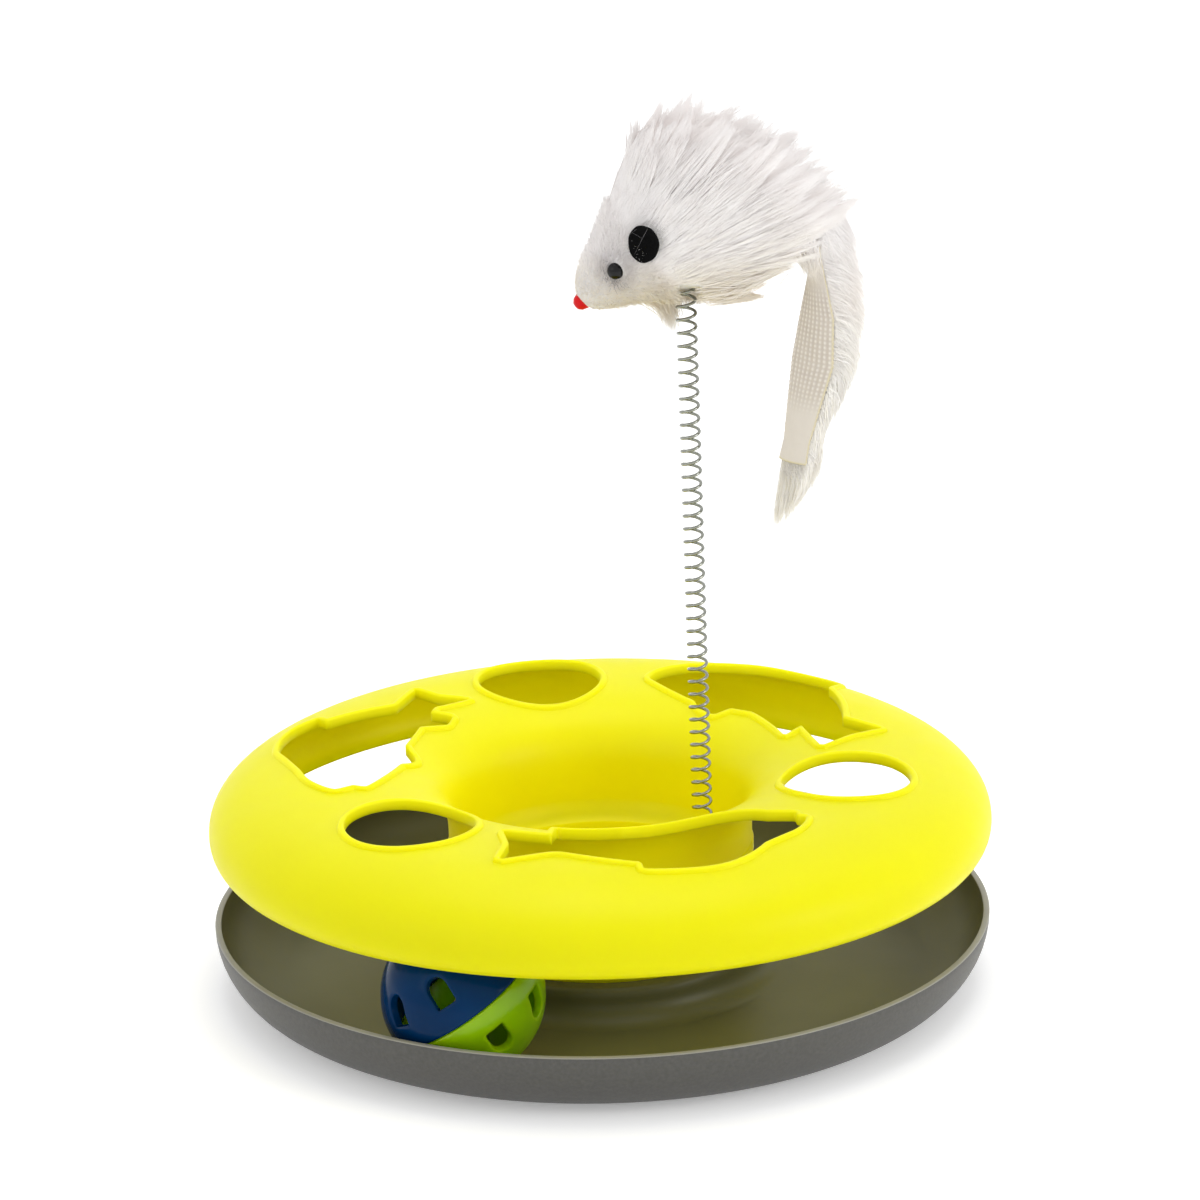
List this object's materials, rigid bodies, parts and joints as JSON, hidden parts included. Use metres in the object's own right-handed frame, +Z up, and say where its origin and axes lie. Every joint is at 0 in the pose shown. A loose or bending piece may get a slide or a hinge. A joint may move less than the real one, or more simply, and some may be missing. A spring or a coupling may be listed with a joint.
{
  "type": "cat ball track toy",
  "caption": "Cat toy: dished tray with a doughnut lid pierced by fish-shaped and round paw openings, a lattice ball with a bell on the track, and a plush mouse on a wire spring.",
  "frame": {"origin": "middle of the tray's underside, on the surface it stands on", "axes": "+Z up; +X to the viewer's right in the picture, towards the mouse's tail; +Y away from the viewer"},
  "size_m": [0.2372, 0.2372, 0.2716],
  "materials": {
    "lid_yellow": "satin moulded yellow plastic",
    "tray_grey": "fine matte moulded grey plastic",
    "ball_blue": "glossy moulded blue plastic",
    "ball_green": "glossy moulded lime green plastic",
    "fur_white": "white plush fur",
    "filling": "white stuffing core",
    "felt_black": "black felt",
    "eye_black": "polished black bead",
    "nose_red": "red pompom thread knot",
    "spring_steel": "bright drawn spring wire",
    "bell_nickel": "nickel plated pressed metal"
  },
  "bodies": {
    "tray": {"tray": "tray_grey"},
    "lid": {"lid": "lid_yellow"},
    "spring": {"spring": "spring_steel"},
    "mouse": {"mouse_body": "fur_white", "mouse_core": "filling", "mouse_head": "fur_white", "mouse_ear_left": "felt_black", "mouse_ear_right": "felt_black", "mouse_eye_left": "eye_black", "mouse_eye_right": "eye_black", "mouse_nose": "nose_red"},
    "tail": {"mouse_tail": "fur_white"},
    "bell": {"bell_upper_cup": "bell_nickel", "bell_lower_cup": "bell_nickel"},
    "ball": {"ball_blue_half": "ball_blue", "ball_green_half": "ball_green"},
    "pellet": {"bell_pellet": "spring_steel"}
  },
  "joints": [
    {"name": "lid_lift", "type": "slide", "parent": "tray", "child": "lid", "axis": [0, 0, 1], "range_m": [0, 0.06]},
    {"name": "spring_sway", "type": "hinge", "parent": "lid", "child": "spring", "pos_m": [0.0315, 0, 0.0218], "axis": [0, 1, 0], "range_deg": [-22, 14], "stiffness_Nm_per_rad": 0.8, "deforming": ["spring"]},
    {"name": "mouse_nod", "type": "hinge", "parent": "spring", "child": "mouse", "pos_m": [0.02876, 0, 0.21078], "axis": [0, 1, 0], "range_deg": [-25, 25], "stiffness_Nm_per_rad": 0.4, "deforming": ["spring"]},
    {"name": "tail_swing", "type": "hinge", "parent": "mouse", "child": "tail", "pos_m": [0.07342, 0, 0.22945], "axis": [0, 1, 0], "range_deg": [-35, 12]},
    {"name": "ball_orbit", "type": "hinge", "parent": "tray", "child": "bell", "pos_m": [0, 0, 0], "axis": [0, 0, 1], "continuous": true},
    {"name": "ball_roll", "type": "hinge", "parent": "bell", "child": "ball", "pos_m": [-0.04083, -0.08189, 0.0271], "axis": [-0.4462, -0.8949, 0], "continuous": true},
    {"name": "bell_rattle", "type": "slide", "parent": "bell", "child": "pellet", "axis": [0, 0, 1], "range_m": [0, 0.005]}
  ],
  "couplings": [
    {"joint": "ball_roll", "follows": "ball_orbit", "ratio": -3.8125}
  ]
}
